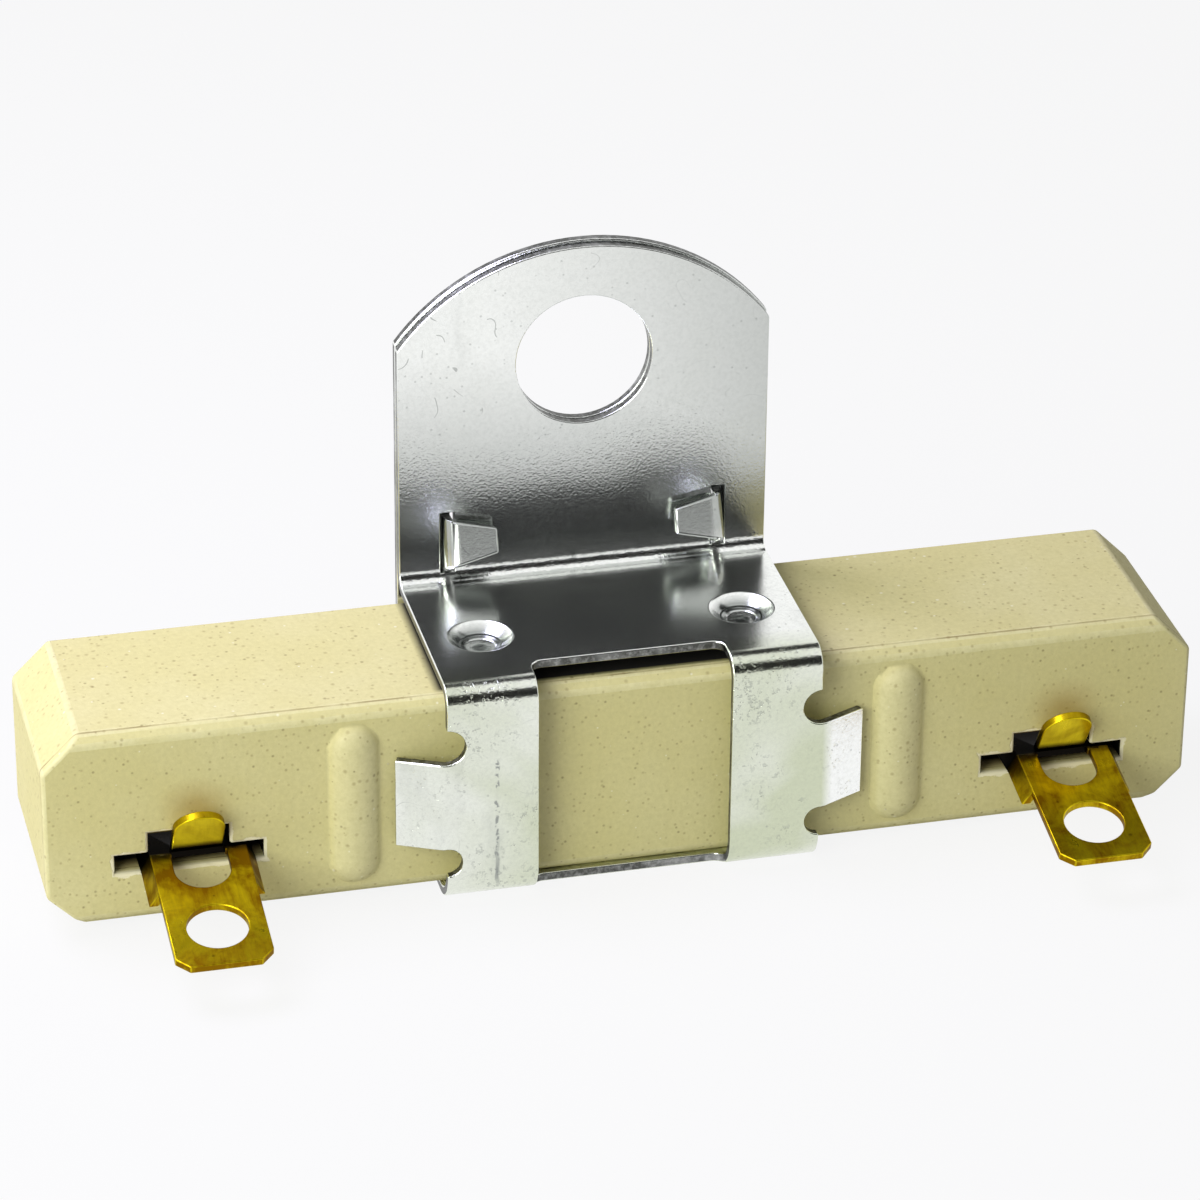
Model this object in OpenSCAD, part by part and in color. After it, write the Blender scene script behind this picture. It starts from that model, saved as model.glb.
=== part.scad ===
// Ballast resistor: a pressed ceramic block with a resistance wire coil in its open rear trough,
// two brass terminals through slots in the front, and a folded steel strap with a mounting ear.
// Millimetres, +Z up. X runs along the block, -Y is the terminal side.
// The origin is the middle of the strap's underside.

/* [Ceramic block] */
// Length of the block
body_l = 98.4; // [90:0.1:130]
// Height of the block
body_h = 18; // [17:0.1:22]
// Depth of the block, front to back
body_d = 17.2; // [15:0.1:22]
// 45 degree corners of the block's ends
end_chamfer = 3.1; // [1:0.1:4]
// Bevel along the long front edges
front_bevel = 0.85; // [0.3:0.05:1.2]
// Ceramic between the front face and the trough
front_wall = 4; // [3:0.1:5]
// Ceramic below the trough and the terminal slots
floor_wall = 4.8; // [4:0.1:6]
// Corner radius of the trough
trough_corner = 1.5; // [0.5:0.1:2.5]
// Width of the raised ribs beside the strap
rib_w = 4.6; // [3:0.1:6]
// How far the ribs stand out of the front face
rib_rise = 1.1; // [0.6:0.05:1.5]
// Distance from a rib's ends to the block's top and bottom
rib_margin = 1.4; // [1:0.1:3]
// Room between a rib and the strap's wing
rib_clear = 1; // [0.4:0.1:2]

/* [Terminal slots] */
// Middle of a slot from the end of the block
slot_inset = 11.95; // [11.5:0.05:14]
// Room beside the terminal in its slot, each side
slot_side = 1.4; // [1.1:0.05:2]
// Room above the terminal in its slot
slot_clear = 0.2; // [0.1:0.05:0.5]
// Height of the keyway for the tongue, above the slot
key_h = 1.85; // [1:0.05:2.4]
// Room beside the tongue in its keyway, each side
key_side = 1.25; // [0.4:0.05:1.6]

/* [Terminals] */
// Thickness of the brass
term_t = 0.7; // [0.5:0.05:0.8]
// Width of the tip
tip_w = 8.1; // [7.5:0.1:9]
// Height of the base, which is a channel with its legs down
base_h = 1.5; // [1.2:0.05:1.8]
// How far each leg of the base splays past the tip's edge
leg_splay = 0.8; // [0.4:0.05:1]
// Length in front of the block
term_out = 13.7; // [13:0.1:18]
// End of the legs, from the front of the block
shoulder_out = 4.7; // [4:0.1:6]
// Screw hole
screw_d = 5.1; // [4:0.1:5.4]
// Middle of the screw hole, from the front of the block
screw_out = 9.3; // [8.8:0.1:9.8]
// Cut corners of the tip
tip_chamfer = 1.1; // [0.5:0.1:2.4]
// Width of the lanced tongue
tongue_w = 4.3; // [3:0.1:4.6]
// Length of the tongue
tongue_l = 5.1; // [3.6:0.1:5.4]
// Lean of the tongue out of the keyway
tongue_lean = 32; // [20:1:35]
// Gap between the tongue and the keyway's upper edge
tongue_gap = 0.1; // [0.05:0.05:0.3]
// Sheet left in front of the tongue's foot
tongue_foot = 0.15; // [0.1:0.05:0.2]
// Gap beside the tongue in the opening that it leaves
tongue_kerf = 0.2; // [0.1:0.05:0.3]
// End of that opening, from the front of the block
window_out = 4.6; // [4.2:0.1:5.5]
// Start of the downward bend, from the front of the block
bend_out = 0.3; // [0.2:0.05:0.6]
// Bend below level, in front of the block
droop = 12; // [4:1:14]
// Inner radius of that bend
droop_r = 1; // [0.5:0.1:2]
// Overlap of the inner head behind the slot, each side
head_lap = 0.5; // [0.3:0.1:0.8]
// Gap between the inner head and the ceramic
head_gap = 0.05; // [0.02:0.01:0.2]
// Left terminal off the middle of its slot, to the right
left_shift = 0.7; // [-1:0.1:1]
// Right terminal off the middle of its slot, to the right
right_shift = 0.9; // [-1:0.1:1]

/* [Resistance coil] */
// Diameter of the wire
wire_d = 0.9; // [0.6:0.05:1]
// Outer diameter of the coil
coil_d = 6.7; // [5:0.1:7]
// Turns of the coil
coil_turns = 24; // [12:1:30]
// Room between the coil and the trough's walls
coil_room = 0.9; // [0.5:0.1:1]
// Straight lead between the coil and the inner head
lead_l = 1.5; // [1:0.1:4]
// Length of lead that is welded on the inner head
weld_l = 4.5; // [2:0.1:6]
// Inner head behind the lead
weld_margin = 1.2; // [0.8:0.1:2]
// Joint between the lead and the head
weld_gap = 0.02; // [0.01:0.01:0.05]

/* [Strap] */
// Thickness of the steel sheet
sheet_t = 0.8; // [0.6:0.05:1]
// Width of the strap and its ear
strip_w = 32; // [30:0.1:36]
// Gap between the straps and the block's front
strap_gap = 1.75; // [1.3:0.05:2.2]
// Gap above the block, which the dimples bridge
plate_gap = 1.15; // [0.8:0.05:1.5]
// Gap behind the block
back_gap = 0.5; // [0.3:0.05:0.8]
// Inner radius of the upper bends
bend_r = 1.2; // [0.8:0.05:1.4]
// Inner radius of the bend at the straps' feet
foot_r = 2.4; // [1.8:0.05:2.6]
// Width of the front window between the straps
window_w = 16.5; // [12:0.1:18]
// How far the window cuts behind the block's front, in the top plate
window_back = 1.2; // [0.9:0.05:2]
// How far it cuts behind the block's front, in the bottom run
window_foot = 0.05; // [0.02:0.01:0.8]
// Corner radius of the window
window_r = 1; // [0.4:0.1:1.5]
// Radius of the upper relief notch
upper_notch_r = 1.6; // [1:0.1:2]
// Middle of the upper notch, below the strap's top
upper_notch_drop = 5.3; // [4.4:0.1:6]
// Radius of the lower relief notch
lower_notch_r = 1.3; // [0.8:0.1:1.5]
// Middle of the lower notch, above the underside
lower_notch_up = 4.45; // [4.4:0.05:5.5]
// Start of a wing's bend, from the strap's edge
wing_fold = 0.1; // [0.05:0.05:0.6]
// Inner radius of that bend
wing_r = 1; // [0.5:0.1:1.5]
// Lean of a wing toward the block
wing_lean = 25; // [20:1:40]
// Gap between a wing's end and the block
wing_seat = 0.05; // [0.02:0.01:0.2]
// Width of the dimples, which are round dishes
dimple_d = 5.5; // [5:0.1:6.4]
// Width of the dimples' flat floor
dimple_floor_d = 1.8; // [1:0.1:2.4]
// Middle of a dimple, from the window's side
dimple_side = 3; // [2.4:0.1:4.2]
// Middle of a dimple, behind the block's front
dimple_back = 6.4; // [5.8:0.1:8]

/* [Mounting ear] */
// Top of the ear above the strap's top
ear_rise = 29.8; // [26:0.1:40]
// Rise of the ear's rounded top
ear_crown = 8.05; // [4:0.05:12]
// Rear layer above the front layer
rear_rise = 0.25; // [0.05:0.05:0.5]
// Mounting hole
ear_hole_d = 11.7; // [8:0.1:14]
// Middle of the mounting hole above the strap's top
ear_hole_up = 19.45; // [17:0.05:20]
// Gap between the two layers
seam = 0.15; // [0.1:0.01:0.3]
// Clinch tab from the ear's edge
tab_inset = 4.2; // [3:0.1:5]
// Middle of the tabs above the strap's top
tab_up = 3.5; // [3.4:0.05:6]
// Height of a tab at its root
tab_root = 5.2; // [4:0.1:5.6]
// Height of a tab at its end
tab_tip = 2.2; // [0.6:0.05:2.6]
// How far a tab stands in front of the ear
tab_stand = 1.7; // [1.2:0.1:2.4]
// Lean of a tab's upper side back toward the ear
tab_lean = 20; // [0:1:22]
// Length of the folded flag
flag_l = 3.7; // [2:0.1:4.2]
// Inner radius of the flag's bend
tab_r = 0.8; // [0.4:0.05:0.85]
// Room round a tab in its slot
tab_clear = 0.2; // [0.1:0.05:0.4]

/* [Hidden] */
$fn = 64;
cut = 1;

// Places that several pieces share
front_y = -body_d / 2;
back_y = body_d / 2;
body_z = sheet_t;
body_top = body_z + body_h;
trough_y = front_y + front_wall;
slot_z = body_z + floor_wall;

// Terminals and slots
base_w = tip_w + 2 * leg_splay;
slot_h = base_h + slot_clear;
slot_w = base_w + 2 * slot_side;
slot_x = body_l / 2 - slot_inset;
key_w = tongue_w + 2 * key_side;
head_w = slot_w + 2 * head_lap;
sheet_up = base_h - term_t;
head_top = slot_z + base_h;
droop_l = (droop_r + base_h - term_t / 2) * droop * PI / 180;
tip_l = term_out - bend_out - droop_l;
leg_l = shoulder_out - bend_out - droop_l;
window_l = window_out - bend_out - droop_l;
droop_steps = 4;
opening_w = tongue_w + 2 * tongue_kerf;
root_w = tongue_w + tongue_kerf;
tongue_y = (slot_clear + key_h) * tan(tongue_lean) - term_t / cos(tongue_lean) - tongue_gap;
term_shift = max(abs(left_shift), abs(right_shift));

// Coil and trough
wire_r = wire_d / 2;
coil_r = coil_d / 2 - wire_r;
coil_y = trough_y + coil_room + coil_d / 2;
coil_z = head_top + weld_gap + coil_d / 2;
trough_h = coil_z + coil_d / 2 + coil_room - slot_z;
corner_up = max(trough_corner - sheet_up, 0);
corner_in = trough_corner - sqrt(trough_corner * trough_corner - corner_up * corner_up);
trough_l = 2 * slot_x + head_w + 2 * (term_shift + head_gap + corner_in);
head_l = coil_y + wire_r + weld_margin - trough_y - head_gap;
lead_x = slot_x - term_shift - head_w / 2 + weld_l;
coil_x = lead_x - weld_l - lead_l;

// Strap
strap_y = front_y - strap_gap - sheet_t;
plate_z = body_top + plate_gap;
plate_top = plate_z + sheet_t;
rear_y = back_y + back_gap;
ear_y = rear_y - seam - sheet_t;
ear_top = plate_top + ear_rise;
ear_hole_z = plate_top + ear_hole_up;
upper_notch_z = plate_top - upper_notch_drop;
lower_notch_z = lower_notch_up;
wing_z = lower_notch_z + lower_notch_r;
wing_h = upper_notch_z - upper_notch_r - wing_z;
hinge_x = strip_w / 2 - wing_fold;
wing_drop = strap_gap - wing_seat;
wing_l = (wing_drop - wing_r * (1 - cos(wing_lean))) / sin(wing_lean);
wing_steps = 5;
wing_x = hinge_x + (wing_r + sheet_t) * sin(wing_lean) + wing_l * cos(wing_lean);
tab_x = strip_w / 2 - tab_inset;
tab_z = plate_top + tab_up;
tab_run = rear_y - ear_y + tab_stand;
tab_slope = (tab_root - tab_tip) / (tab_run + flag_l);
flag_h = tab_root - tab_slope * tab_run;
dish_up = (dimple_d * dimple_d / 4 - dimple_floor_d * dimple_floor_d / 4 + plate_gap * plate_gap) / (2 * plate_gap);
dish_r = norm([dimple_floor_d / 2, dish_up]);

// Ribs of the block
rib_x = wing_x + rib_clear + rib_w / 2;
rib_r = (rib_w * rib_w / 4 + rib_rise * rib_rise) / (2 * rib_rise);
rib_l = body_h - 2 * rib_margin;

// A drawing in Y and Z, extruded across X
module across(width) {
    rotate([90, 0, 90])
        linear_extrude(width, center = true)
            children();
}

// A drawing in X and Z, extruded from y to y + depth
module along(y, depth) {
    translate([0, y + depth, 0])
        rotate([90, 0, 0])
            linear_extrude(depth)
                children();
}

// Rectangle with round corners, centred in x and standing on y = 0
module round_rect(w, h, r) {
    translate([-w / 2, r])
        square([w, h - 2 * r]);
    translate([-w / 2 + r, 0])
        square([w - 2 * r, h]);
    for (x = [-1, 1], y = [r, h - r])
        translate([x * (w / 2 - r), y])
            circle(r);
}

// Quarter of a bent sheet round its centre, toward the side given by two signs
module bend(inner, thick, sx, sy) {
    outer = inner + thick;
    intersection() {
        difference() {
            circle(outer);
            circle(inner);
        }
        translate([sx < 0 ? -outer : 0, sy < 0 ? -outer : 0])
            square(outer);
    }
}

// Front outline of the block with its cut corners
module block_outline() {
    w = body_l / 2;
    polygon([
        [-w + end_chamfer, body_z],
        [w - end_chamfer, body_z],
        [w, body_z + end_chamfer],
        [w, body_top - end_chamfer],
        [w - end_chamfer, body_top],
        [-w + end_chamfer, body_top],
        [-w, body_top - end_chamfer],
        [-w, body_z + end_chamfer]
    ]);
}

// Cross-section of the block with its bevelled front edges
module block_section() {
    polygon([
        [front_y + front_bevel, body_z],
        [back_y, body_z],
        [back_y, body_top],
        [front_y + front_bevel, body_top],
        [front_y, body_top - front_bevel],
        [front_y, body_z + front_bevel]
    ]);
}

// Soft raised rib: a capsule sunk into the front face
module rib() {
    straight = rib_l - rib_w;
    translate([0, front_y + rib_r - rib_rise, body_z + body_h / 2])
        rotate_extrude()
            intersection() {
                translate([0, -rib_l])
                    square([rib_r, 2 * rib_l]);
                union() {
                    translate([-rib_r, -straight / 2])
                        square([2 * rib_r, straight]);
                    for (end = [-1, 1])
                        translate([0, end * straight / 2])
                            circle(rib_r);
                }
            }
}

// Slot of one terminal, with the keyway for its tongue
module terminal_slot() {
    translate([-slot_w / 2, slot_z])
        square([slot_w, slot_h]);
    translate([-key_w / 2, slot_z])
        square([key_w, slot_h + key_h]);
}

module ceramic_body() {
    color("wheat")
        difference() {
            union() {
                intersection() {
                    along(front_y, body_d)
                        block_outline();
                    across(body_l)
                        block_section();
                }
                for (side = [-1, 1])
                    translate([side * rib_x, 0, 0])
                        rib();
            }
            along(trough_y, body_d)
                translate([0, slot_z])
                    round_rect(trough_l, trough_h, trough_corner);
            for (side = [-1, 1])
                translate([side * slot_x, 0, 0])
                    along(front_y - cut, front_wall + 2 * cut)
                        terminal_slot();
        }
}

// Half of the coil's path as pairs of X and angle: lead, round corner, then the turns
corner_a = 30;
corner_x = coil_r * 0.5;
lead_steps = 3;
corner_steps = 5;
turn_steps = 14;
wire_sides = 6;
turn_a = 360 * coil_turns;
helix_steps = turn_steps * coil_turns;
lead_path = [for (k = [0 : lead_steps]) [-lead_x + (lead_x - coil_x) * k / lead_steps, 0]];
corner_path = [
    for (k = [1 : corner_steps])
        [-coil_x + corner_x * sin(90 * k / corner_steps), corner_a * (1 - cos(90 * k / corner_steps))]
];
helix_path = [
    for (k = [1 : helix_steps - 1])
        [(coil_x - corner_x) * (2 * k / helix_steps - 1), corner_a + (turn_a - 2 * corner_a) * k / helix_steps]
];
half_path = concat(lead_path, corner_path);
half_n = len(half_path);
end_path = [for (k = [half_n - 1 : -1 : 0]) [-half_path[k][0], turn_a - half_path[k][1]]];
coil_path = concat(half_path, helix_path, end_path);
coil_n = len(coil_path);

// Point of the path, outward direction and ring of the wire there
function coil_point(k) = [coil_path[k][0], coil_r * sin(coil_path[k][1]), -coil_r * cos(coil_path[k][1])];
function coil_out(k) = [0, sin(coil_path[k][1]), -cos(coil_path[k][1])];
function unit(v) = v / norm(v);
function coil_way(k) = unit(coil_point(min(k + 1, coil_n - 1)) - coil_point(max(k - 1, 0)));
function coil_ring(k) =
    let (way = coil_way(k), out = unit(coil_out(k) - (coil_out(k) * way) * way), side = cross(way, out))
    [for (j = [0 : wire_sides - 1])
        coil_point(k) + wire_r * (cos(360 * j / wire_sides) * out + sin(360 * j / wire_sides) * side)];

module resistance_coil() {
    points = [for (k = [0 : coil_n - 1], p = coil_ring(k)) p];
    walls = [
        for (k = [0 : coil_n - 2], j = [0 : wire_sides - 1])
            let (a = k * wire_sides, b = a + wire_sides, n = (j + 1) % wire_sides)
            each [[a + j, b + j, b + n], [a + j, b + n, a + n]]
    ];
    first = [for (j = [0 : wire_sides - 1]) j];
    last = [for (j = [wire_sides - 1 : -1 : 0]) (coil_n - 1) * wire_sides + j];
    color("dimgray")
        translate([0, coil_y, coil_z])
            polyhedron(points, concat([first], walls, [last]), convexity = 10);
}

// Side view of the strip: level in the slot, bent down in front of it
function bend_point(r, a) = [-bend_out - r * sin(a), r * cos(a) - droop_r];
function tip_point(r) = bend_point(r, droop) - tip_l * [cos(droop), sin(droop)];

module strip_side() {
    inner = droop_r + sheet_up;
    outer = droop_r + base_h;
    root = front_wall + head_gap + term_t;
    polygon(concat(
        [[root, sheet_up], [root, base_h]],
        [for (k = [0 : droop_steps]) bend_point(outer, droop * k / droop_steps)],
        [tip_point(outer), tip_point(inner)],
        [for (k = [droop_steps : -1 : 0]) bend_point(inner, droop * k / droop_steps)]
    ));
}

// Section of the two splayed legs, which stand on the slot's floor
module legs() {
    top = base_h - term_t / 20;
    in = term_t / 20;
    wall = term_t * norm([leg_splay + in, top]) / top;
    for (side = [0, 1])
        mirror([side, 0])
            polygon([
                [tip_w / 2 - in, top],
                [tip_w / 2 + leg_splay, 0],
                [tip_w / 2 + leg_splay - wall, 0],
                [tip_w / 2 - in - wall, top]
            ]);
}

// Turn about the bend's axis into the drooping part
module in_front() {
    translate([0, -bend_out, -droop_r])
        rotate([droop, 0, 0])
            translate([0, 0, droop_r])
                children();
}

// What is pierced and cut from the drooping part, with Y forward from the bend:
// the opening that the tongue leaves, the screw hole and the corners
module tip_cuts() {
    straight = window_l - opening_w / 2;
    translate([-opening_w / 2, -droop_l])
        square([opening_w, droop_l + straight]);
    translate([0, straight])
        circle(opening_w / 2);
    translate([0, screw_out - bend_out - droop_l])
        circle(screw_d / 2);
    for (side = [0, 1])
        mirror([side, 0])
            polygon([
                [tip_w / 2 - tip_chamfer - cut, tip_l + cut],
                [tip_w / 2 + cut, tip_l + cut],
                [tip_w / 2 + cut, tip_l - tip_chamfer - cut]
            ]);
}

// Leaning tongue with its round end, rooted in the sheet behind the opening
module tongue() {
    root = term_t * tan(tongue_lean) + term_t / 10;
    straight = root + tongue_l - tongue_w / 2;
    translate([0, tongue_y, base_h])
        rotate([tongue_lean, 0, 0])
            along(0, term_t)
                translate([0, -root]) {
                    translate([-tongue_w / 2, 0])
                        square([tongue_w, straight]);
                    translate([0, straight])
                        circle(tongue_w / 2);
                }
}

// Terminal about the front of its slot: X = 0 in its middle, Z = 0 on the slot's floor
module terminal() {
    translate([-head_w / 2, front_wall + head_gap, sheet_up])
        cube([head_w, head_l, term_t]);
    difference() {
        union() {
            across(tip_w)
                strip_side();
            along(-bend_out, front_wall + bend_out)
                legs();
            in_front()
                along(-leg_l, leg_l + bend_out + droop_l)
                    legs();
        }
        translate([-root_w / 2, -bend_out - droop_l, sheet_up - cut])
            cube([root_w, tongue_y - tongue_foot + bend_out + droop_l, term_t + 2 * cut]);
        in_front()
            translate([0, 0, sheet_up - cut])
                mirror([0, 1, 0])
                    linear_extrude(term_t + 2 * cut)
                        tip_cuts();
    }
    tongue();
}

module left_terminal() {
    color("goldenrod")
        translate([-slot_x + left_shift, front_y, slot_z])
            terminal();
}

module right_terminal() {
    color("goldenrod")
        translate([slot_x + right_shift, front_y, slot_z])
            terminal();
}

// Side view of the whole folded strip, from the ear's front layer round the block to its rear layer
module strip_profile() {
    foot_o = foot_r + sheet_t;
    top_o = bend_r + sheet_t;
    heel_o = back_gap + sheet_t;
    heel_y = rear_y + sheet_t - heel_o;
    translate([ear_y, plate_top + bend_r])
        square([sheet_t, ear_rise - bend_r]);
    translate([ear_y - bend_r, plate_top + bend_r])
        bend(bend_r, sheet_t, 1, -1);
    translate([strap_y + top_o, plate_z])
        square([ear_y - bend_r - strap_y - top_o, sheet_t]);
    translate([strap_y + top_o, plate_top - top_o])
        bend(bend_r, sheet_t, -1, 1);
    translate([strap_y, foot_o])
        square([sheet_t, plate_top - top_o - foot_o]);
    translate([strap_y + foot_o, foot_o])
        bend(foot_r, sheet_t, -1, -1);
    translate([strap_y + foot_o, 0])
        square([heel_y - strap_y - foot_o, sheet_t]);
    translate([heel_y, heel_o])
        bend(back_gap, sheet_t, 1, -1);
    translate([rear_y, heel_o])
        square([sheet_t, ear_top + rear_rise - heel_o]);
}

// Outline that rounds the top of one ear layer
module ear_outline(top) {
    w = strip_w / 2;
    r = (w * w + ear_crown * ear_crown) / (2 * ear_crown);
    intersection() {
        translate([-w, -cut])
            square([strip_w, top + 2 * cut]);
        union() {
            translate([0, top - r])
                circle(r);
            translate([-w, -cut])
                square([strip_w, top - ear_crown + cut]);
        }
    }
}

// One wing, bent back until the inner corner of its end bears on the block
function wing_point(r, a) = [hinge_x + r * sin(a), strap_y + sheet_t + wing_r - r * cos(a)];

module wing() {
    outer = wing_r + sheet_t;
    flat = wing_l * [cos(wing_lean), sin(wing_lean)];
    translate([0, 0, wing_z])
        linear_extrude(wing_h)
            polygon(concat(
                [for (k = [0 : wing_steps]) wing_point(wing_r, wing_lean * k / wing_steps)],
                [wing_point(wing_r, wing_lean) + flat, wing_point(outer, wing_lean) + flat],
                [for (k = [wing_steps : -1 : 0]) wing_point(outer, wing_lean * k / wing_steps)]
            ));
}

// Clinch tab: lanced from the rear layer, through the front layer and folded inward, tapering all the way
module upright_tab() {
    flag_y = ear_y - tab_stand;
    outer_x = tab_x + sheet_t / 2;
    inner_x = tab_x - sheet_t / 2;
    end_x = inner_x - flag_l;
    top_o = tab_r + sheet_t;
    intersection() {
        translate([0, 0, tab_z - tab_root])
            linear_extrude(2 * tab_root)
                union() {
                    translate([inner_x, flag_y + top_o])
                        square([sheet_t, rear_y + sheet_t / 2 - flag_y - top_o]);
                    translate([outer_x - top_o, flag_y + top_o])
                        bend(tab_r, sheet_t, 1, -1);
                    translate([end_x, flag_y])
                        square([outer_x - top_o - end_x, sheet_t]);
                }
        across(2 * strip_w)
            polygon([
                [rear_y + sheet_t, tab_z - tab_root / 2],
                [rear_y + sheet_t, tab_z + tab_root / 2],
                [rear_y, tab_z + tab_root / 2],
                [flag_y, tab_z + flag_h / 2],
                [flag_y, tab_z - flag_h / 2],
                [rear_y, tab_z - tab_root / 2]
            ]);
        along(flag_y - cut, rear_y + sheet_t - flag_y + 2 * cut)
            polygon([
                [end_x, tab_z - tab_tip / 2],
                [end_x, tab_z + tab_tip / 2],
                [inner_x, tab_z + flag_h / 2],
                [inner_x, tab_z + tab_root],
                [outer_x, tab_z + tab_root],
                [outer_x, tab_z - tab_root],
                [inner_x, tab_z - tab_root],
                [inner_x, tab_z - flag_h / 2]
            ]);
    }
}

module clinch_tab() {
    translate([0, ear_y, tab_z])
        rotate([-tab_lean, 0, 0])
            translate([0, -ear_y, -tab_z])
                upright_tab();
}

// Opening that a tab leaves in the rear layer
module lance_window() {
    inner_x = tab_x - sheet_t / 2;
    end_x = inner_x - tab_run - flag_l + sheet_t;
    h = tab_root / 2 + tab_clear;
    e = tab_tip / 2 + tab_clear;
    polygon([
        [inner_x, tab_z - h],
        [inner_x, tab_z + h],
        [end_x - tab_clear, tab_z + e],
        [end_x - tab_clear, tab_z - e]
    ]);
}

// Round dish that is pressed down on the block, with a small flat floor
module dish(radius, low, high) {
    intersection() {
        translate([0, 0, sheet_t - plate_gap + dish_up])
            sphere(radius);
        translate([-dimple_d, -dimple_d, low])
            cube([2 * dimple_d, 2 * dimple_d, high - low]);
    }
}

module dimple_boss() {
    dish(dish_r + sheet_t, -plate_gap, sheet_t / 2);
}

module dimple_cut() {
    dish(dish_r, sheet_t - plate_gap, sheet_t + cut);
}

module dimple_places() {
    for (side = [-1, 1])
        translate([side * (window_w / 2 + dimple_side), front_y + dimple_back, plate_z])
            children();
}

// Window cut from a height upward, as far behind the block's front as given
module front_window(low, back) {
    translate([0, front_y + back, low])
        linear_extrude(plate_top + cut - low)
            mirror([0, 1])
                round_rect(window_w, strap_gap + sheet_t + back + 2 * cut, window_r);
}

module mounting_bracket() {
    color("silver") {
        difference() {
            union() {
                intersection() {
                    across(strip_w)
                        strip_profile();
                    union() {
                        along(strap_y - cut, rear_y - seam / 2 - strap_y + cut)
                            ear_outline(ear_top);
                        along(rear_y - seam / 2, sheet_t + seam + cut)
                            ear_outline(ear_top + rear_rise);
                    }
                }
                dimple_places()
                    dimple_boss();
            }
            dimple_places()
                dimple_cut();
            // Front window between the straps, deeper in the top plate than in the bottom run
            front_window(-cut, window_foot);
            front_window(body_z + body_h / 2, window_back);
            // Mounting hole through both layers
            translate([0, ear_y - cut, ear_hole_z])
                rotate([-90, 0, 0])
                    cylinder(h = 2 * sheet_t + seam + 2 * cut, d = ear_hole_d);
            for (side = [0, 1])
                mirror([side, 0, 0]) {
                    // Relief notches and the blank that folds into the wing
                    along(strap_y - cut, strap_gap + sheet_t + cut) {
                        translate([strip_w / 2, upper_notch_z])
                            circle(upper_notch_r);
                        translate([strip_w / 2, lower_notch_z])
                            circle(lower_notch_r);
                        translate([hinge_x, lower_notch_z])
                            square([wing_fold + cut, upper_notch_z - lower_notch_z]);
                    }
                    // Slot in the front layer for the tab
                    along(ear_y - cut, sheet_t + cut + seam / 2)
                        translate([tab_x - sheet_t / 2 - tab_clear, tab_z - tab_root / 2 - tab_clear])
                            square([sheet_t + 2 * tab_clear, tab_root + 2 * tab_clear]);
                    along(rear_y - seam / 2, sheet_t + seam + cut)
                        lance_window();
                }
        }
        for (side = [0, 1])
            mirror([side, 0, 0]) {
                wing();
                clinch_tab();
            }
    }
}

ceramic_body();
resistance_coil();
left_terminal();
right_terminal();
mounting_bracket();
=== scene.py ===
"""Looks of a ballast resistor: speckled ceramic block, zinc-plated strap, brass terminals and a wire coil.

Everything is in metres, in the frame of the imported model: X along the block, -Y toward the terminals, +Z up.
"""

import math

import bmesh
import bpy
import numpy as np
from mathutils import Matrix, Vector
from mathutils.bvhtree import BVHTree


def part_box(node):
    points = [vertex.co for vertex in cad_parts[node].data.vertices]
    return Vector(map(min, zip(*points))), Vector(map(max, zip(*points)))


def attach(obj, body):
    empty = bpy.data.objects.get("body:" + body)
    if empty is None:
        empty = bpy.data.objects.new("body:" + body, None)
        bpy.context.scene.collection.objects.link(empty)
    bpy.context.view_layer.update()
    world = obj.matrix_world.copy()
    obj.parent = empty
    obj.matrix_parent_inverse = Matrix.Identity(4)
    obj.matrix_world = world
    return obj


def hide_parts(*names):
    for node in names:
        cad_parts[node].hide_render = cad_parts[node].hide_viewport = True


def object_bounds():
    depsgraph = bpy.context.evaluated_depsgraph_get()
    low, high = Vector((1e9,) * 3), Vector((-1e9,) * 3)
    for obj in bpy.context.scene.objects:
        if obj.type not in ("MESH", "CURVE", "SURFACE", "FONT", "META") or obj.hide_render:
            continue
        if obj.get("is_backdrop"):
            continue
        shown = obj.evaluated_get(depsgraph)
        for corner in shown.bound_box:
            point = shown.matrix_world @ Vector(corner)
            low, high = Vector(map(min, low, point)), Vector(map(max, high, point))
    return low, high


bl_info = {
    "name": "Ballast Resistor",
    "version": (1, 0, 0),
    "blender": (4, 5, 0),
    "location": "View3D > Sidebar > Resistor",
    "description": "Dresses the packed ballast resistor and sets up its studio",
    "category": "Object",
}

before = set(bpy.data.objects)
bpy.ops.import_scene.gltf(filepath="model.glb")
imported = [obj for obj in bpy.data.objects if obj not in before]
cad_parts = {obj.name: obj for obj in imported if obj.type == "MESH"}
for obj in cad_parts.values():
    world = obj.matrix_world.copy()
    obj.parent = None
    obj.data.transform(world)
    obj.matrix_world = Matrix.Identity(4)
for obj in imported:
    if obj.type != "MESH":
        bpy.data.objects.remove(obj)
CAD_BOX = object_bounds()
COIL_LOW, COIL_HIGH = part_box("resistance_coil")
BLOCK_LOW, BLOCK_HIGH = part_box("ceramic_body")
STRAP_LOW, STRAP_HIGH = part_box("mounting_bracket")

# Points of a solid's mesh that are closer than this are one point.
MERGE_DISTANCE = 2e-6
# Triangles that turn by less than this are one face.
FLAT_ANGLE = math.radians(0.6)
# Edges that turn by more than this are sharp, and are rounded where they point outward.
SHARP_ANGLE = math.radians(34)
# Edges of faces that are narrower than this stay as they are.
NARROW_FACE = 0.00012
# A face with more solid behind it than this many thicknesses of the sheet is one of its cut edges.
CUT_DEPTH = 1.6

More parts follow.
